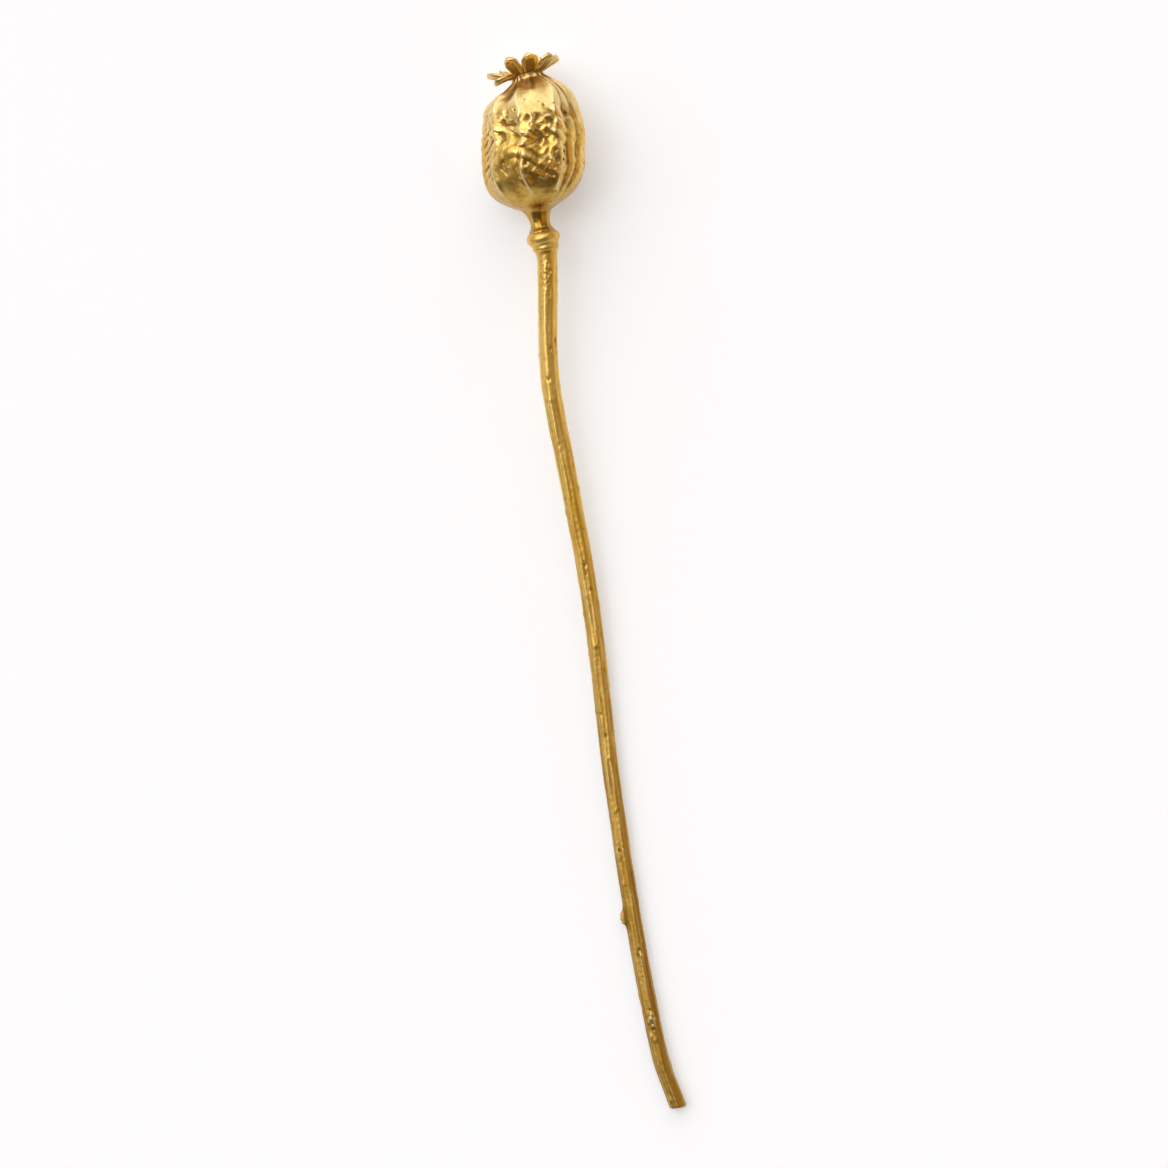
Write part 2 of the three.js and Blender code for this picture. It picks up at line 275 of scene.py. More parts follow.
def hollowness(relief, reach):
    """How far each point of a grid that wraps round lies below its neighbours."""
    smooth = relief
    for _ in range(2):
        smooth = sum(np.roll(smooth, k, axis=1) for k in range(-reach, reach + 1)) / (2 * reach + 1)
        padded = np.pad(smooth, ((reach, reach), (0, 0)), mode="edge")
        smooth = sum(padded[k:k + len(relief)] for k in range(2 * reach + 1)) / (2 * reach + 1)
    return smooth - relief


def from_rib(y, turn):
    """Ribs counted round the capsule from the rib on its upper side, wandering a little."""
    wander = 0.05 * np.sin(0.21 * y + 3 * turn) + 0.03 * np.sin(0.47 * y - 2 * turn)
    shift = RIB_SHIFT * smoothstep(y, 0, 12) * np.exp(-((turned_from(turn, 106) / 0.6) ** 2))
    return (turn - RIB_TURN + wander - shift) / RIB_SPACING


def capsule_form(y, turn, rib_height):
    """How far the wall stands off its smooth outline: ribs, panels, pleats, broad crumples and hollows."""
    body = smoothstep(y, -21, -13) * (1 - smoothstep(y, 20, CAPSULE_TOP + 0.6))
    narrowing = np.clip(capsule_outline(y) / 13, 0.25, 1)
    count = from_rib(y, turn)
    off_rib = (count - np.round(count)) * RIB_SPACING
    rib = rib_height * np.exp(-((off_rib / RIB_WIDTH) ** 2))
    panel = np.cos(math.pi * off_rib / RIB_SPACING) ** 2
    sink = PANEL_SINK * (1 - panel) * (0.7 + 0.3 * np.sin(2 * turn + 0.13 * y)) * narrowing
    shoulder = smoothstep(y, 13, 19) * (1 - smoothstep(y, 19.5, 24.5))
    pleat = PLEAT_DEPTH * (1 - panel) * (1 + spots(y, turn, PLEATS)) * shoulder * narrowing
    belt = smoothstep(y, -14, -5) * (1 - smoothstep(y, 9, 16))
    fold = np.sin(0.62 * y + 2.2 * np.sin(2 * turn + 1) + 1.1 * np.sin(5 * turn - 0.25 * y))
    cross = np.sin(9 * turn + 1.6 * np.sin(0.36 * y + 1) + 0.9 * np.sin(0.8 * y))
    crumple = CRUMPLE_DEPTH * belt * (0.55 * np.abs(fold) + 0.45 * np.abs(cross) - 0.5)
    crumple = crumple * (1 + spots(y, turn, SMOOTH_SPOTS))
    return body * (rib - sink - pleat + crumple - spots(y, turn, HOLLOWS))


def capsule_wrinkles(y, turn, place, depth, pit_depth):
    """The dried wall's fine relief: folds and wrinkles in each panel, rib lines, ropes, pits and flutes."""
    count = from_rib(y, turn)
    panel = np.floor(count).astype(int) % RIB_COUNT
    share = count - np.floor(count)
    inside = np.sin(math.pi * share) ** 0.8
    off_rib = (count - np.round(count)) * RIB_SPACING
    broad, small, low, high = (np.array(column)[panel] for column in zip(*PANELS))
    dried = depth * inside * smoothstep(y, low - 3, low + 2) * (1 - smoothstep(y, high - 2, high + 4))
    swirled = place + 1.8 * drift(place, 6)
    folds = FOLD_DEPTH * broad * (np.abs(lumps(swirled, FOLD_SIZE)) - 0.2)
    uneven = np.clip(0.8 + 1.2 * lumps(place + 20, 5), 0.2, 1.5)
    coarse_net = 1.25 * (cells(swirled + 50, WRINKLE_SIZE) - 0.4)
    fine_net = 0.5 * (cells(swirled + 90, FINE_WRINKLE_SIZE) - 0.4)
    wrinkles = small * uneven * (coarse_net + fine_net)
    soft = 0.16 * lumps(place, 5) + 0.05 * lumps(place + 30, 1.4)
    on_body = smoothstep(y, -20, -15) * (1 - smoothstep(y, 23, 26))
    crest = (0.11 + 0.1 * smoothstep(y, 6, 12)) * np.exp(-((off_rib / CREST_WIDTH) ** 2)) * on_body
    roped = np.isin(panel, (1, 5)) * smoothstep(y, -13, -8) * (1 - smoothstep(y, 10, 15))
    ropes = ROPE_HEIGHT * np.sin(2.3 * y + 16 * turn) * inside * roped
    ridges = RIDGE_HEIGHT * np.abs(np.sin(3 * math.pi * share)) * np.isin(panel, (3, 6, 7)) * on_body
    shelf = SHELF_HEIGHT * inside * (panel == 0) * smoothstep(-y, -1.8, 0.8) * (1 - smoothstep(-y, 2, 9))
    slit = spots(y, off_rib, [(-7, 3.4, -0.5, 5, 0.03)]) * (np.round(count) % RIB_COUNT == 0)
    low_grooves = LOW_GROOVE * np.cos(RIB_COUNT * turn + 0.3 * y) * (1 - smoothstep(y, -22, -18))
    neck = smoothstep(y, 16, 21) * (1 - smoothstep(y, 25, 26.5))
    neck_flutes = NECK_FLUTE * np.cos(4 * math.pi * share) * neck
    reach = np.maximum(capsule_outline(y), 1)
    pits = sum(
        size * np.exp(-((y - at) ** 2 + (reach * turned_from(turn, degrees)) ** 2) / radius ** 2)
        for at, degrees, size, radius in PITS)
    return (dried * (folds + wrinkles) + soft + crest + ropes + ridges + shelf + slit + low_grooves
            + neck_flutes - pit_depth * pits)


def capsule_skin(settings):
    """The capsule's grid of points, each one's painted shading, and each one's place on the straightened
    capsule.
    """
    places = even_places(CAPSULE_FOOT - SEAT, CAPSULE_TOP + SEAT, CAPSULE_ROWS, capsule_outline)
    turns = np.linspace(0, 2 * math.pi, CAPSULE_SIDES, endpoint=False)
    y, turn = np.meshgrid(places, turns, indexing="ij")
    smooth = capsule_outline(y)
    place = np.stack([smooth * np.cos(turn), y, smooth * np.sin(turn)], -1)
    form = capsule_form(y, turn, settings.rib_height / MM)
    fine = capsule_wrinkles(y, turn, place, settings.wrinkle_depth / MM, settings.pit_depth)
    slope = np.clip(np.gradient(smooth[:, 0], places), -3, 3)[:, None]
    out = 1 / np.hypot(1, slope)
    points = around(axis_at(places), smooth + form + fine * out, turn, -fine * out * slope)
    points[..., 2] = np.maximum(points[..., 2], 0)
    # Painted shade on the neck under the crown, added to the shading.
    shaded = 0.25 * smoothstep(y, 24.4, 25.6)
    return points, hollowness(form + fine, 4) + shaded, place


def lobe_line(lift, share, lengths):
    """A lobe's middle line: reach from the crown's centre, rise and slope at lengths along it."""
    free = share * np.maximum(lengths - HUB_RADIUS, 0)
    shares = (np.arange(48) + 0.5) / 48
    slopes = math.radians(lift) * smoothstep(free[:, None] * shares, 0, 3)
    reach = np.minimum(lengths, HUB_RADIUS) + free * np.cos(slopes).mean(axis=1)
    rise = free * np.sin(slopes).mean(axis=1)
    return reach, rise, math.radians(lift) * smoothstep(free, 0, 3)


def lobe_faces(length, across, web, rim_thickness):
    """How far the lower and the upper face stand off the middle line: a shallow trough with a rolled rim."""
    opened = smoothstep(length, 3, HUB_RADIUS + 2)
    away = np.abs(across)
    tip = smoothstep(length, 11, 12.6)
    rim = np.maximum(smoothstep(away, 0.42, 0.78), tip)
    thickness = CROWN_THICKNESS + (web + (rim_thickness - web) * rim - CROWN_THICKNESS) * opened
    middle = CROWN_THICKNESS / 2 + LOBE_TROUGH * opened * across ** 2 * (1 - 0.6 * tip)
    ray = RAY_HEIGHT * np.exp(-((across / 0.2) ** 2)) * (1 - tip) * smoothstep(length, 0, 1.2)
    free = smoothstep(length, HUB_RADIUS, HUB_RADIUS + 0.7)
    sides = 1 - free * (1 - np.sqrt(np.clip(1 - away ** 5, 0, 1)))
    end = np.sqrt(np.clip(1 - np.clip((length - LOBE_LENGTH + 0.8) / 0.8, 0, 1) ** 2, 0, 1))
    half = thickness / 2 * sides * end
    return middle - half, middle + half + ray * sides * end


def crown_skin(settings):
    """Each lobe's lower and upper grid of points, with each point's painted shading."""
    draw = random.Random(settings.seed)
    axis = axis_at(CROWN_BASE)
    lengths = np.concatenate(
        [np.linspace(0, HUB_RADIUS, HUB_ROWS, endpoint=False),
         np.linspace(HUB_RADIUS, LOBE_LENGTH, LOBE_ROWS - HUB_ROWS)])
    across = np.sin(np.linspace(-1, 1, LOBE_COLUMNS) * math.pi / 2)
    length_grid, across_grid = np.meshgrid(lengths, across, indexing="ij")
    free = np.maximum(length_grid - HUB_RADIUS, 0) / (LOBE_LENGTH - HUB_RADIUS)
    faces = []
    for i, (turn, lift, share) in enumerate(LOBES):
        before = (turn - LOBES[i - 1][0]) % 360 / 2
        after = (LOBES[(i + 1) % len(LOBES)][0] - turn) % 360 / 2
        reach, rise, slope = (column[:, None] for column in lobe_line(lift, share, lengths))
        wedge = np.radians(np.where(across_grid < 0, before, after))
        half_width = lobe_half_width(length_grid) * np.sqrt(1 - (free * 0.97) ** 10)
        room = wedge * (LOBE_SHARE + 0.6 * free)
        narrow = np.minimum(half_width / np.maximum(reach, 1), room)
        spread = np.where(length_grid > HUB_RADIUS, narrow, wedge)
        waver = 1 + 0.06 * free * np.sin(length_grid * 2.1 + draw.uniform(0, 6)) * np.sign(across_grid)
        twist = draw.uniform(-0.35, 0.35) * free * across_grid * 2.6
        curl = draw.uniform(-0.5, 0.9) * free ** 2 * across_grid ** 2
        sway = draw.uniform(-0.06, 0.06) * free ** 2
        turns = math.radians(turn) + across_grid * spread * waver + sway
        pair = lobe_faces(length_grid, across_grid, settings.web / MM, settings.rim / MM)
        for side, off in zip((-1, 1), pair):
            flat = np.stack([length_grid, across_grid * 3 + 20 * i, off + 5 * side], -1)
            rough = 0.09 * lumps(flat, 1.7) * free * np.sqrt(np.clip(1 - across_grid ** 6, 0, 1))
            lifted = off + twist + curl + rough * (1 - smoothstep(length_grid, 12, LOBE_LENGTH))
            points = around(axis, reach - lifted * np.sin(slope), turns, rise + lifted * np.cos(slope))
            # Painted shade on each lobe's sunken middle near the hub, and a painted highlight on its rim and
            # tip.
            edge = np.maximum(smoothstep(np.abs(across_grid), 0.45, 0.8), smoothstep(length_grid, 11.3, 12.5))
            lobe_shading = 0.5 * (1 - edge) * (1 - 0.95 * free) - 0.25 * edge * np.sqrt(free)
            faces.append((side, points, lobe_shading))
    return faces


def stem_skin(settings):
    """The stem's grid of points, each one's painted shading and scar tone, and its place on the straightened
    stem.
    """
    places = even_places(STEM_END, COLLAR_TOP, STEM_ROWS, stem_outline)
    turns = np.linspace(0, 2 * math.pi, STEM_SIDES, endpoint=False)
    y, turn = np.meshgrid(places, turns, indexing="ij")
    smooth = stem_outline(y)
    place = np.stack([smooth * np.cos(turn), y, smooth * np.sin(turn)], -1)
    stretched = place * (1, 0.07, 1)
    on_stalk = 1 - smoothstep(y, -42, -36)
    flutes = settings.flute_depth / MM * np.cos(FLUTE_COUNT * turn + 0.012 * y) * on_stalk
    fibres = FIBRE_DEPTH * lumps(stretched, 0.9) * on_stalk
    uneven = 0.1 * lumps(place, 7) + 0.05 * lumps(place, 1.3)
    patch = spots(y, turn, TORN_SKIN) * lumps(place + 70, 0.95)
    ring = smoothstep(y, -36.5, -34.5)
    nicks = 0.06 * ring * lumps(place * (1.6, 0.5, 1.6), 1)
    bumps = np.zeros_like(y)
    draw = random.Random(settings.seed)
    for _ in range(settings.bump_count):
        at = draw.uniform(STEM_END, -45)
        degrees = draw.uniform(0, 360)
        size = draw.uniform(-0.3, 0.28)
        radius = draw.uniform(0.35, 0.75)
        near = np.abs(places - at) < 4 * radius
        around_reach = 3 * turned_from(turn[near], degrees)
        bumps[near] += size * np.exp(-((y[near] - at) ** 2 / 2 + around_reach ** 2) / radius ** 2)
    fine = fibres + uneven + patch + nicks + bumps
    relief = flutes + spots(y, turn, SCARS + SCAR_TIP) + fine
    points = around(axis_at(places), smooth + relief, turn, np.zeros_like(y))
    points[..., 2] = np.maximum(points[..., 2], 0)
    return points, hollowness(relief, 3) + spots(y, turn, SCAR_TONES), place


def new_piece(name, points, faces, attributes):
    """A smooth mesh object from points in millimetres and faces, with values kept on its points."""
    mesh = bpy.data.meshes.new(name)
    mesh.from_pydata((points * MM).tolist(), [], faces)
    for key, values in attributes.items():
        kind, field = ("FLOAT", "value") if values.ndim == 1 else ("FLOAT_VECTOR", "vector")
        mesh.attributes.new(key, kind, "POINT").data.foreach_set(field, values.astype(np.float32).ravel())
    return finished_piece(name, mesh)


def finished_piece(name, mesh):
    """A linked object with merged points, outward faces and smooth shading."""
    made = bmesh.new()
    made.from_mesh(mesh)
    bmesh.ops.remove_doubles(made, verts=made.verts, dist=MERGE_DISTANCE * MM)
    bmesh.ops.recalc_face_normals(made, faces=made.faces)
    for face in made.faces:
        face.smooth = True
    made.to_mesh(mesh)
    made.free()
    piece = bpy.data.objects.new(name, mesh)
    bpy.context.collection.objects.link(piece)
    return piece


def ring_faces(rows, sides, offset=0):
    """Quads between the rings of a grid that wraps round."""
    faces = []
    for i in range(rows - 1):
        for k in range(sides):
            n = (k + 1) % sides
            faces.append((offset + i * sides + k, offset + i * sides + n,
                          offset + (i + 1) * sides + n, offset + (i + 1) * sides + k))
    return faces


def lobe_grid_faces(start, rows, columns):
    """The faces of one side of a lobe, cut at the tip's two corners so that the two sides don't meet there."""
    faces = []
    for i in range(rows - 1):
        for k in range(columns - 1):
            corner = start + i * columns + k
            quad = (corner, corner + 1, corner + columns + 1, corner + columns)
            if i < rows - 2 or 0 < k < columns - 2:
                faces.append(quad)
            elif k == 0:
                faces += [(quad[0], quad[1], quad[3]), (quad[1], quad[2], quad[3])]
            else:
                faces += [(quad[0], quad[1], quad[2]), (quad[0], quad[2], quad[3])]
    return faces


def root_walls(lower, upper, columns):
    """The short side walls at a lobe's root, between its lower and its upper grid."""
    faces = []
    for k in (0, columns - 1):
        for i in range(HUB_ROWS, HUB_ROWS + ROOT_ROWS):
            corner = i * columns + k
            beyond = corner + columns
            faces.append((lower + corner, lower + beyond, upper + beyond, upper + corner))
    return faces


def tube_piece(name, grid, hollow, place, ends):
    """A closed skin over rings.

    Ends gives for each end the rings that close it, as (share of the radius, move inwards).
    """
    rings = [*grid]
    hollows = [*hollow]
    places = [*place]
    for at_start, cap in zip((True, False), ends):
        edge, edge_shade, edge_place = (part[0 if at_start else -1] for part in (rings, hollows, places))
        centre = edge.mean(axis=0)
        inward = rings[1 if at_start else -2].mean(axis=0) - centre
        inward /= np.linalg.norm(inward)
        for share, depth in cap:
            ring = centre + (edge - centre) * share + inward * depth
            new = (ring, edge_shade + CAP_SHADE, edge_place * (share, 1, share))
            for column, value in zip((rings, hollows, places), new):
                column.insert(0 if at_start else len(column), value)
    sides = len(rings[0])
    points = np.concatenate(rings)
    faces = ring_faces(len(rings), sides)
    faces.append(tuple(range(sides)))
    faces.append(tuple(range(len(points) - sides, len(points))))
    attributes = {"hollow": np.concatenate(hollows), "straight": np.concatenate(places)}
    return new_piece(name, points, faces, attributes)


class Socket:
    """A socket of a material's nodes; arithmetic on it adds Math nodes."""

    def __init__(self, recipe, socket):
        self.recipe = recipe
        self.socket = socket

    def math(self, operation, *values):
        return self.recipe.add("ShaderNodeMath", {"operation": operation}, dict(enumerate(values)))

    def __add__(self, other):
        return self.math("ADD", self, other)

    def __sub__(self, other):
        return self.math("SUBTRACT", self, other)

    def __rsub__(self, other):
        return self.math("SUBTRACT", other, self)

    def __mul__(self, other):
        return self.math("MULTIPLY", self, other)

    __radd__ = __add__
    __rmul__ = __mul__

    def between(self, low, high):
        """0 below low, 1 above high and smooth between them."""
        limits = {"From Min": low, "From Max": high, "Value": self}
        return self.recipe.add("ShaderNodeMapRange", {"interpolation_type": "SMOOTHSTEP"}, limits)


class Recipe:
    """The nodes of one material or world."""

    def __init__(self, owner):
        owner.use_nodes = True
        self.owner = owner
        self.tree = owner.node_tree
        self.tree.nodes.clear()

    def add(self, kind, settings=None, sockets=None, out=0):
        """A node of a kind with its settings and its sockets' values or links; returns one of its outputs."""
        node = self.tree.nodes.new(kind)
        for key, value in (settings or {}).items():
            setattr(node, key, value)
        for key, value in (sockets or {}).items():
            if isinstance(value, Socket):
                self.tree.links.new(value.socket, node.inputs[key])
            else:
                node.inputs[key].default_value = value
        return Socket(self, node.outputs[out]) if node.outputs else None

    def blend(self, share, first, second):
        """A colour between two colours."""
        return self.add("ShaderNodeMix", {"data_type": "RGBA"}, {0: share, 6: first, 7: second}, 2)

    def noise(self, where, scale, detail=2.0, rough=0.5):
        sockets = {"Vector": where, "Scale": scale, "Detail": detail, "Roughness": rough}
        return self.add("ShaderNodeTexNoise", None, sockets)

    def shade(self, sockets):
        """The finished surface, from a Principled shader's sockets."""
        shader = self.add("ShaderNodeBsdfPrincipled", None, sockets)
        self.add("ShaderNodeOutputMaterial", None, {"Surface": shader})
        return self.owner


def gold_paint(name, paint, streak, speck_size, darkening, rougher=0.0, lighter=0.0):
    """Sprayed gold over dried plant skin, with painted shade in the creases and a painted highlight on the
    crests, and with specks and grain.

    Over a span along Y the colour darkens downwards towards a brown, by a given share: painted shade on the
    capsule's lower belly and on the crown's lobe roots, and a darker stem towards its cut end. Above that span
    it gets lighter by a given share: painted light on the capsule's shoulder and neck.
    """
    recipe = Recipe(bpy.data.materials.new(name))
    hollow = recipe.add("ShaderNodeAttribute", {"attribute_name": "hollow"}, None, "Fac")
    where = recipe.add("ShaderNodeAttribute", {"attribute_name": "straight"}, None, "Vector")
    stretched = recipe.add(
        "ShaderNodeVectorMath", {"operation": "MULTIPLY"}, {0: where, 1: (1, streak, 1)})
    cloud = recipe.noise(stretched, 0.22, 3.0, 0.55)
    mottle = recipe.noise(stretched, 0.9, 3.0, 0.6)
    grain = recipe.noise(where, 5.0, 2.0)
    # Painted shade darkens the creases, and a painted highlight lightens the crests.
    crease_shade = hollow.between(0.03, 0.34)
    crest = (0 - hollow).between(0.03, 0.3)
    along = recipe.add("ShaderNodeSeparateXYZ", None, {0: where}, "Y")
    # The colour darkens towards lower Y: painted shade on the capsule's lower belly and the crown's lobe roots;
    # the stem darkens the same way towards its cut end.
    darkening_top, darkest_below, most = darkening
    low_darkening = (1 - along.between(darkest_below, darkening_top)) * (cloud * 0.5 + mottle * 0.5 + 0.5) * most
    deep = (cloud * 0.65 + mottle * 0.35).between(0.38, 0.68)
    gold = recipe.blend(deep, (*paint.gold, 1), (*paint.deep_gold, 1))
    gold = recipe.blend(low_darkening, gold, (*paint.low_brown, 1))
    # Lighter towards the top: painted light on the capsule's shoulder and neck.
    lighter_top = along.between(darkening_top, darkening_top + 16) * lighter
    # The crests take a painted highlight, and the top takes painted light, both in the highlight gold.
    gold = recipe.blend(crest * 0.4 + lighter_top, gold, (*paint.highlight_gold, 1))
    gold = recipe.blend(crease_shade * 0.88, gold, (*paint.crease_shade, 1))
    scatter = {"Vector": where, "Scale": 1 / speck_size, "Randomness": 1.0}
    near = recipe.add("ShaderNodeTexVoronoi", None, scatter)
    lot = recipe.add("ShaderNodeTexVoronoi", None, scatter, "Color")
    chance = recipe.add("ShaderNodeSeparateColor", None, {0: lot})
    speck = (1 - near.between(0.1, 0.22)) * chance.between(0.72, 0.8)
    gold = recipe.blend(speck * 0.75, gold, (*paint.speck, 1))
    metallic = 1 - crease_shade * 0.35 - speck * 0.5
    base_roughness = paint.roughness + rougher - 0.12
    roughness = mottle * 0.2 + grain * 0.06 + crease_shade * 0.2 + speck * 0.15 + base_roughness
    height = grain * 0.5 + mottle * 0.5 - speck * 0.8
    normal = recipe.add("ShaderNodeBump", None, {"Strength": 0.35, "Distance": 0.12 * MM, "Height": height})
    return recipe.shade({
        "Base Color": gold, "Metallic": metallic, "Roughness": roughness, "Normal": normal,
    })


class CapsuleSettings(bpy.types.PropertyGroup):
    """Relief of the capsule's wall."""

    rib_height: bpy.props.FloatProperty(
        name="Rib height", description="How far each rib stands off the wall",
        default=0.55 * MM, min=0, unit="LENGTH", precision=5)
    wrinkle_depth: bpy.props.FloatProperty(
        name="Wrinkle depth", description="Depth of the net of wrinkles in the panels",
        default=0.95 * MM, min=0, unit="LENGTH", precision=5)
    pit_depth: bpy.props.FloatProperty(
        name="Pit depth", description="Share of full depth for the pits in the wall",
        default=1.0, min=0, max=1.5, subtype="FACTOR")


class CrownSettings(bpy.types.PropertyGroup):
    """Shape of the crown's lobes."""

    web: bpy.props.FloatProperty(
        name="Web", description="Thickness of the sunken middle of a lobe",
        default=0.55 * MM, min=0, unit="LENGTH", precision=5)
    rim: bpy.props.FloatProperty(
        name="Rim", description="Thickness of the rolled rim round a lobe",
        default=1.7 * MM, min=0, unit="LENGTH", precision=5)
    seed: bpy.props.IntProperty(
        name="Seed", description="Draw of each lobe's own twist and curl", default=5)


class StemSettings(bpy.types.PropertyGroup):
    """Relief of the stem."""

    flute_depth: bpy.props.FloatProperty(
        name="Flute depth", description="Depth of the flutes along the stem",
        default=0.12 * MM, min=0, unit="LENGTH", precision=5)
    bump_count: bpy.props.IntProperty(
        name="Bumps", description="Number of small bumps and pits on the stem", default=240, min=0)
    seed: bpy.props.IntProperty(name="Seed", description="Draw of the bumps and pits", default=11)


class PaintSettings(bpy.types.PropertyGroup):
    """Colours of the gold paint."""

    gold: bpy.props.FloatVectorProperty(
        name="Gold", description="Main colour of the paint", default=(0.84, 0.575, 0.17),
        subtype="COLOR", min=0, max=1)
    deep_gold: bpy.props.FloatVectorProperty(
        name="Deep gold", description="Colour where the paint lies thin", default=(0.64, 0.37, 0.05),
        subtype="COLOR", min=0, max=1)
    # Painted shade: the capsule's lower belly and the crown's lobe roots darken towards this colour, and the
    # stem towards its cut end.
    low_brown: bpy.props.FloatVectorProperty(
        name="Bare", description="Colour where the dried skin shows through", default=(0.27, 0.132, 0.01),
        subtype="COLOR", min=0, max=1)
    # Painted highlight on the crests, and painted light on the capsule's shoulder and neck, take this colour.
    highlight_gold: bpy.props.FloatVectorProperty(
        name="Pale gold", description="Colour of the crests", default=(0.95, 0.76, 0.42),
        subtype="COLOR", min=0, max=1)
    # Painted shade in the creases takes this colour.
    crease_shade: bpy.props.FloatVectorProperty(
        name="Crease", description="Colour in the hollows", default=(0.23, 0.108, 0.012),
        subtype="COLOR", min=0, max=1)
    speck: bpy.props.FloatVectorProperty(
        name="Specks", description="Colour of the dark specks", default=(0.11, 0.055, 0.012),
        subtype="COLOR", min=0, max=1)
    roughness: bpy.props.FloatProperty(
        name="Roughness", description="Roughness of the paint", default=0.3, min=0, max=1, subtype="FACTOR")


class StageSettings(bpy.types.PropertyGroup):
    """Floor, light and camera."""

    floor: bpy.props.FloatVectorProperty(
        name="Floor", description="Colour of the floor", default=(0.79, 0.81, 0.855),
        subtype="COLOR", min=0, max=1)
    floor_glow: bpy.props.FloatProperty(
        name="Floor glow", description="Brightness of the floor's own light, as on a light table",
        default=0.4, min=0)
    key: bpy.props.FloatProperty(
        name="Key light", description="Strength of the main soft light, beyond the crown",
        default=1.55, min=0)
    side: bpy.props.FloatProperty(
        name="Side light", description="Strength of the soft light on the left", default=0.75, min=0)
    overhead: bpy.props.FloatProperty(
        name="Overhead light", description="Strength of the soft light from above", default=0.5, min=0)
    fill: bpy.props.FloatProperty(
        name="Fill light", description="Strength of the warm light on the right", default=0.32, min=0)
    horizon: bpy.props.FloatProperty(
        name="Horizon", description="Brightness of the surroundings at floor level", default=0.7, min=0)
    air: bpy.props.FloatVectorProperty(
        name="Air", description="Colour of the surroundings overhead", default=(0.12, 0.09, 0.05),
        subtype="COLOR", min=0, max=1)
    camera_height: bpy.props.FloatProperty(
        name="Camera height", description="Height of the camera over the floor", default=1.25, unit="LENGTH")
    view_height: bpy.props.FloatProperty(
        name="View height", description="Length of floor that the picture shows",
        default=0.405, unit="LENGTH")


def dress(piece, node, material):
    """A piece that stands for a node of the part and moves with it."""
    piece.data.materials.append(material)
    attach(piece, "root")
    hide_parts(node)


class POPPY_OT_capsule(bpy.types.Operator):
    """Make the ribbed and wrinkled capsule"""

    bl_idname = "poppy.capsule"
    bl_label = "Capsule"

    def execute(self, context):
        scene = context.scene
        grid, hollow, place = capsule_skin(scene.poppy_capsule)
        piece = tube_piece("capsule_skin", grid, hollow, place, ([(0.5, 0)], [(0.5, 0)]))
        paint = gold_paint(
            "capsule_gold", scene.poppy_paint, streak=0.6, speck_size=2.4, darkening=(2, -20, 0.5), lighter=0.4)
        dress(piece, "capsule", paint)
        return {"FINISHED"}


class POPPY_OT_crown(bpy.types.Operator):
    """Make the lobed crown"""

    bl_idname = "poppy.crown"
    bl_label = "Crown"

    def execute(self, context):
        scene = context.scene
        points, faces, hollows = [], [], []
        for side, grid, lobe_shading in crown_skin(scene.poppy_crown):
            rows, columns = lobe_shading.shape
            start = len(points) * rows * columns
            faces += [face[::side] for face in lobe_grid_faces(start, rows, columns)]
            if side > 0:
                faces += root_walls(start - rows * columns, start, columns)
            points.append(grid.reshape(-1, 3))
            hollows.append(lobe_shading.ravel())
        points = np.concatenate(points)
        attributes = {"hollow": np.concatenate(hollows), "straight": points}
        piece = new_piece("crown_skin", points, faces, attributes)
        paint = gold_paint(
            "crown_gold", scene.poppy_paint, streak=1.0, speck_size=2.6, darkening=(34, 24, 0.25))
        dress(piece, "crown", paint)
        return {"FINISHED"}


class POPPY_OT_stem(bpy.types.Operator):
    """Make the fluted stem with its collar and scars"""

    bl_idname = "poppy.stem"
    bl_label = "Stem"

    def execute(self, context):
        scene = context.scene
        grid, hollow, place = stem_skin(scene.poppy_stem)
        cut = [(0.97, -0.1), (0.9, -0.14), (0.72, 0.02), (0.45, 0.35), (0.2, 0.5)]
        piece = tube_piece("stem_skin", grid, hollow, place, (cut, [(0.8, 0)]))
        paint = gold_paint(
            "stem_gold", scene.poppy_paint, streak=0.12, speck_size=1.9, darkening=(-70, -290, 0.7), rougher=0.1)
        dress(piece, "stem", paint)
        return {"FINISHED"}


def soft_sun(name, towards, width, strength, colour):
    """A soft far light that shines from a direction and looks as wide as an angle in degrees."""
    data = bpy.data.lights.new(name, "SUN")
    data.angle = math.radians(width)
    data.energy = strength
    data.color = colour
    light = bpy.data.objects.new(name, data)
    light.rotation_euler = Vector(towards).to_track_quat("Z", "Y").to_euler()
    bpy.context.collection.objects.link(light)


def studio_air(horizon, overhead):
    """Surroundings that are bright at the horizon and darker overhead."""
    world = bpy.data.worlds.new("studio")
    recipe = Recipe(world)
    where = recipe.add("ShaderNodeTexCoord", None, None, "Generated")
    height = recipe.add("ShaderNodeSeparateXYZ", None, {0: where}, "Z")
    colour = recipe.blend(height.between(0.02, 0.4), (*[horizon] * 3, 1), (*overhead, 1))
    background = recipe.add("ShaderNodeBackground", None, {"Color": colour})
    recipe.add("ShaderNodeOutputWorld", None, {"Surface": background})
    return world


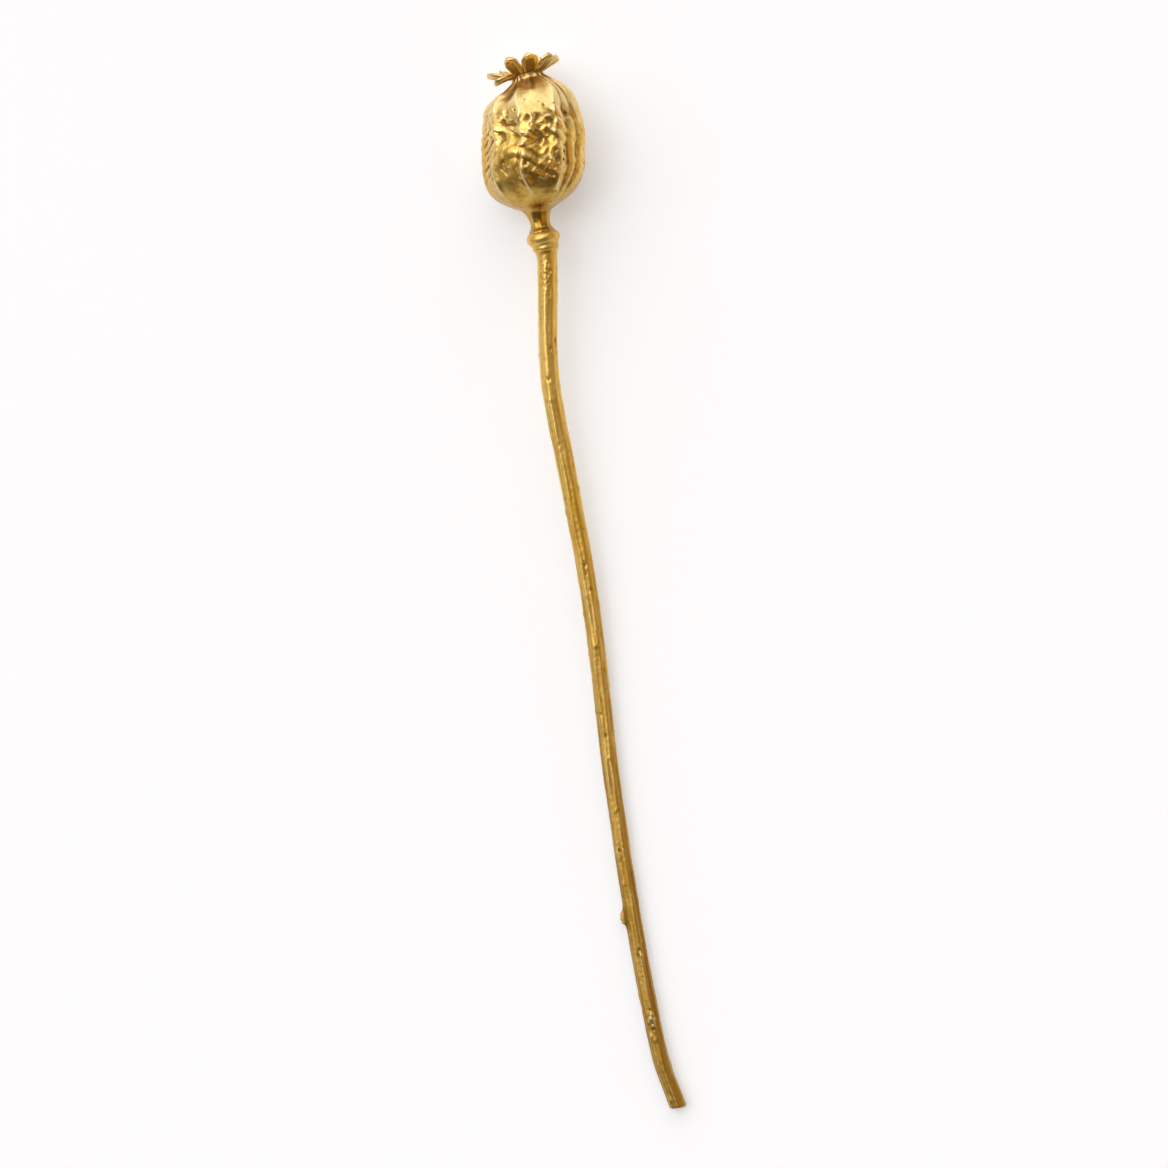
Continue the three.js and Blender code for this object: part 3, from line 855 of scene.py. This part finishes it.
class POPPY_OT_stage(bpy.types.Operator):
    """Make the floor, the soft lights and the camera"""

    bl_idname = "poppy.stage"
    bl_label = "Stage"

    def execute(self, context):
        scene = context.scene
        stage = scene.poppy_stage
        low, high = CAD_BOX
        middle = (low + high) / 2
        mesh = bpy.data.meshes.new("floor")
        half = FLOOR_HALF
        corners = [(-half, -half, 0), (half, -half, 0), (half, half, 0), (-half, half, 0)]
        mesh.from_pydata(corners, [], [(0, 1, 2, 3)])
        floor = bpy.data.objects.new("floor", mesh)
        context.collection.objects.link(floor)
        recipe = Recipe(bpy.data.materials.new("floor_paper"))
        where = recipe.add("ShaderNodeTexCoord", None, None, "Object")
        tone = recipe.noise(where, 9.0, 2.0)
        warm = tuple(0.985 * part for part in stage.floor)
        colour = recipe.blend(tone, (*stage.floor, 1), (*warm, 1))
        glow = {"Emission Color": (*stage.floor, 1), "Emission Strength": stage.floor_glow}
        mesh.materials.append(recipe.shade({"Base Color": colour, "Roughness": 0.7, **glow}))
        for name, (towards, width, colour) in SUNS.items():
            soft_sun(name, towards, width, getattr(stage, name), colour)
        scene.world = studio_air(stage.horizon, stage.air)
        scene.view_settings.view_transform = "Standard"
        data = bpy.data.cameras.new("camera")
        data.sensor_width = SENSOR_WIDTH
        data.lens = data.sensor_width * (stage.camera_height - middle.z) / stage.view_height
        camera = bpy.data.objects.new("camera", data)
        camera.location = (middle.x, middle.y, stage.camera_height)
        context.collection.objects.link(camera)
        scene.camera = camera
        return {"FINISHED"}


class POPPY_PT_panel(bpy.types.Panel):
    """Sizes and colours of the seed head, and a button for each piece"""

    bl_idname = "POPPY_PT_panel"
    bl_label = "Poppy seed head"
    bl_space_type = "VIEW_3D"
    bl_region_type = "UI"
    bl_category = "Poppy"

    def draw(self, context):
        for name, operator in PIECES.items():
            box = self.layout.box()
            settings = getattr(context.scene, name)
            for key in settings.bl_rna.properties.keys():
                if key not in {"rna_type", "name"}:
                    box.prop(settings, key)
            if operator:
                box.operator(operator)


SETTINGS = {
    "poppy_capsule": CapsuleSettings, "poppy_crown": CrownSettings, "poppy_stem": StemSettings,
    "poppy_paint": PaintSettings, "poppy_stage": StageSettings,
}
PIECES = {
    "poppy_paint": None, "poppy_stem": "poppy.stem", "poppy_capsule": "poppy.capsule",
    "poppy_crown": "poppy.crown", "poppy_stage": "poppy.stage",
}
CLASSES = (
    *SETTINGS.values(), POPPY_OT_capsule, POPPY_OT_crown, POPPY_OT_stem, POPPY_OT_stage, POPPY_PT_panel,
)


def register():
    for item in CLASSES:
        bpy.utils.register_class(item)
    for name, group in SETTINGS.items():
        setattr(bpy.types.Scene, name, bpy.props.PointerProperty(type=group))


def unregister():
    for name in SETTINGS:
        delattr(bpy.types.Scene, name)
    for item in reversed(CLASSES):
        bpy.utils.unregister_class(item)


def main():
    register()
    bpy.ops.poppy.stem()
    bpy.ops.poppy.capsule()
    bpy.ops.poppy.crown()
    bpy.ops.poppy.stage()


if __name__ == "__main__":
    main()
